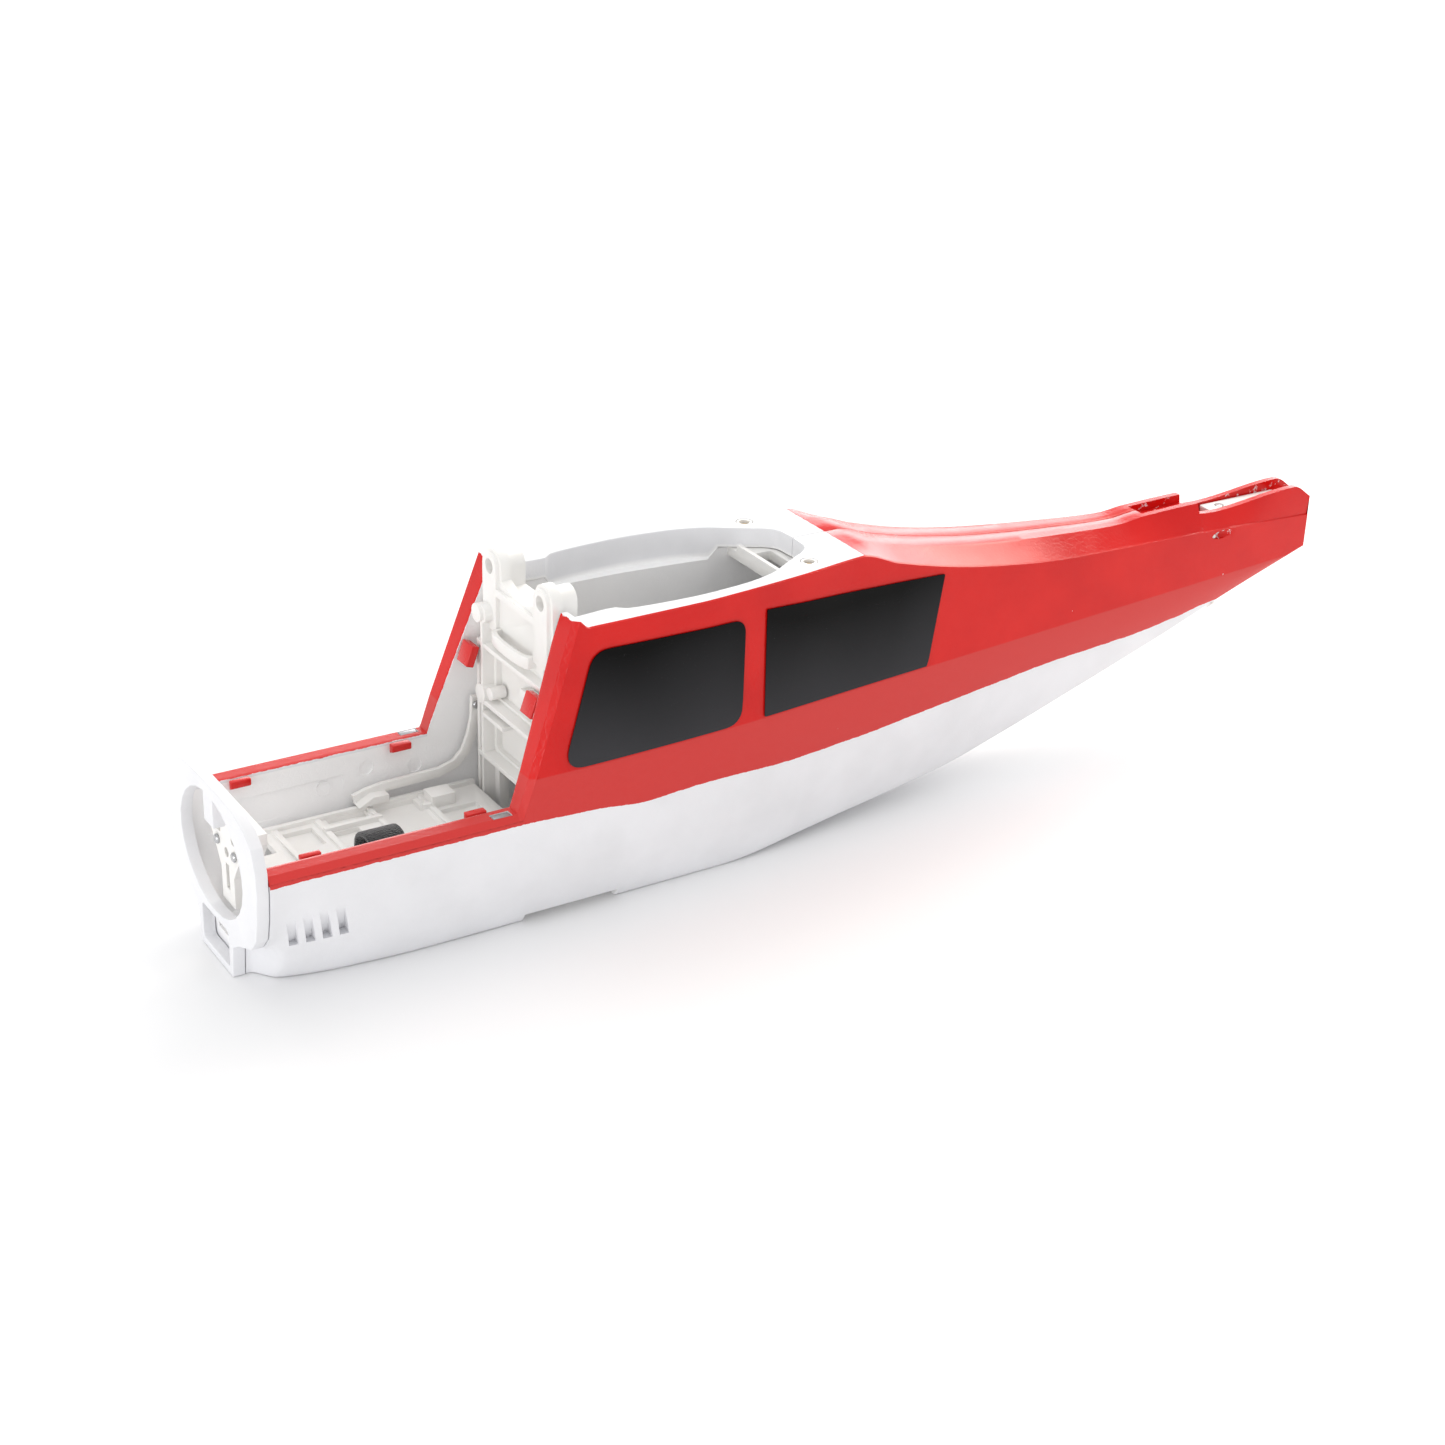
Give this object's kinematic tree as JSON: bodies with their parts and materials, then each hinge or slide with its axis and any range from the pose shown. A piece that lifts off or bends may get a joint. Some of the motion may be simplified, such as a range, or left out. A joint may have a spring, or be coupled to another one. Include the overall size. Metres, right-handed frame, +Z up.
{
  "type": "model aeroplane fuselage",
  "caption": "Bare foam fuselage of a small high-wing radio-control trainer, white with red paint, open battery bay and wing saddle, moulded trays, bulkhead and screw plates.",
  "frame": {"origin": "under the middle of the fuselage, on the plane of its flat belly", "axes": "+X towards the tail, +Y to starboard, +Z up"},
  "size_m": [0.4514, 0.0756, 0.1141],
  "materials": {
    "foam_white": "satin white skin of moulded foam",
    "foam_red": "glossy red paint on moulded foam",
    "nylon": "natural moulded plastic, satin",
    "decal_black": "glossy black self-adhesive film",
    "strap": "black hook-and-loop webbing",
    "steel": "plated steel screws",
    "brass": "bright turned brass",
    "magnet": "dull nickel plate",
    "tube": "natural translucent plastic tube",
    "carbon_strip": "black pultruded carbon strip"
  },
  "bodies": {
    "root": {"fuselage_half_port": "foam_white", "fuselage_half_starboard": "foam_white", "nose_ring": "foam_white", "motor_mount": "nylon", "motor_mount_screw_1": "steel", "motor_mount_screw_2": "steel", "battery_tray": "nylon", "battery_strap": "strap", "cable_guide": "nylon", "cable_guide_screw": "steel", "cabin_bulkhead": "nylon", "servo_tray": "nylon", "rear_wing_plate": "nylon", "wing_screw_insert_port": "brass", "wing_screw_insert_starboard": "brass", "hatch_magnet_port": "magnet", "hatch_magnet_starboard": "magnet", "hatch_catch_front_port": "foam_red", "hatch_catch_front_starboard": "foam_red", "hatch_catch_rear_port": "foam_red", "hatch_catch_rear_starboard": "foam_red", "windscreen_catch_port": "foam_red", "windscreen_catch_starboard": "foam_red", "window_front_port": "decal_black", "window_front_starboard": "decal_black", "window_rear_port": "decal_black", "window_rear_starboard": "decal_black", "side_stiffener_port": "carbon_strip", "side_stiffener_starboard": "carbon_strip", "rudder_pushrod_tube": "tube", "elevator_pushrod_tube": "tube", "landing_gear_cover": "nylon", "landing_gear_block": "nylon", "landing_gear_screw_1": "steel", "landing_gear_screw_2": "steel", "landing_gear_screw_3": "steel", "landing_gear_screw_4": "steel", "tail_seat_plate": "nylon", "tail_seat_screw_1": "steel", "tail_seat_screw_2": "steel", "tail_wheel_bracket": "nylon", "tail_wheel_screw_1": "steel", "tail_wheel_screw_2": "steel"}
  },
  "joints": []
}
